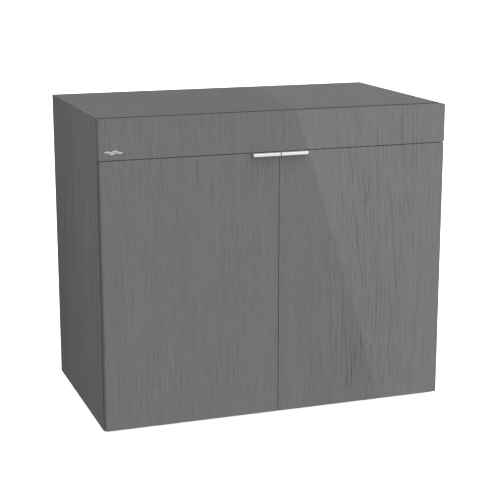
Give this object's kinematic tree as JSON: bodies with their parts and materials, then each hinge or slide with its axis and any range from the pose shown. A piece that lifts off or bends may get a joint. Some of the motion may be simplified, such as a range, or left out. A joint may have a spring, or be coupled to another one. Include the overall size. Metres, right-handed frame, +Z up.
{
  "type": "aquarium stand cabinet",
  "caption": "Low cabinet stand for an aquarium: board carcass with two overlay doors on cup hinges, a fascia, small edge pulls, a shelf and hose ports in the back.",
  "frame": {"origin": "on the floor, at the centre of the footprint", "axes": "+X along the width, -Y the front with the doors, +Z up"},
  "size_m": [0.8, 0.484, 0.69],
  "materials": {
    "laminate": "high-gloss grey wood-grain laminate on furniture board",
    "aluminium": "satin",
    "steel": "nickel plated",
    "zinc": "die-cast zinc, dull",
    "black_plastic": "fine matt texture",
    "bumper": "translucent soft",
    "badge": "satin off-white"
  },
  "bodies": {
    "carcass": {"left_side_panel": "laminate", "right_side_panel": "laminate", "top_panel": "laminate", "bottom_panel": "laminate", "back_panel": "laminate", "centre_partition": "laminate", "front_top_rail": "laminate", "plinth_front_rail": "laminate", "plinth_centre_support": "laminate", "fascia": "laminate", "fascia_spacer_strip": "black_plastic", "left_hose_port_trim": "black_plastic", "right_hose_port_trim": "black_plastic", "shelf": "laminate", "shelf_pin_1": "zinc", "shelf_pin_2": "zinc", "shelf_pin_3": "zinc", "shelf_pin_4": "zinc", "back_cam_lock_1": "zinc", "back_cam_lock_2": "zinc", "back_cam_lock_3": "zinc", "back_cam_lock_4": "zinc", "bottom_cam_lock_1": "zinc", "bottom_cam_lock_2": "zinc", "bottom_cam_lock_3": "zinc", "bottom_cam_lock_4": "zinc", "wave_badge": "badge", "left_lower_hinge_plate": "steel", "left_upper_hinge_plate": "steel", "right_lower_hinge_plate": "steel", "right_upper_hinge_plate": "steel", "left_lower_hinge_arm": "steel", "left_upper_hinge_arm": "steel", "right_lower_hinge_arm": "steel", "right_upper_hinge_arm": "steel"},
    "left_door": {"left_door_panel": "laminate", "left_pull": "aluminium", "left_pull_screw_1": "steel", "left_pull_screw_2": "steel", "left_upper_bumper": "bumper", "left_lower_bumper": "bumper", "left_lower_hinge_pin": "steel", "left_upper_hinge_pin": "steel", "left_lower_hinge_cup": "steel", "left_upper_hinge_cup": "steel"},
    "right_door": {"right_door_panel": "laminate", "right_pull": "aluminium", "right_pull_screw_1": "steel", "right_pull_screw_2": "steel", "right_upper_bumper": "bumper", "right_lower_bumper": "bumper", "right_lower_hinge_pin": "steel", "right_upper_hinge_pin": "steel", "right_lower_hinge_cup": "steel", "right_upper_hinge_cup": "steel"}
  },
  "joints": [
    {"name": "left_door_hinge", "type": "hinge", "parent": "carcass", "child": "left_door", "pos_m": [-0.3915, -0.2208, 0.3125], "axis": [0, 0, -1], "range_deg": [0, 95]},
    {"name": "right_door_hinge", "type": "hinge", "parent": "carcass", "child": "right_door", "pos_m": [0.3915, -0.2208, 0.3125], "axis": [0, 0, 1], "range_deg": [0, 95]}
  ]
}
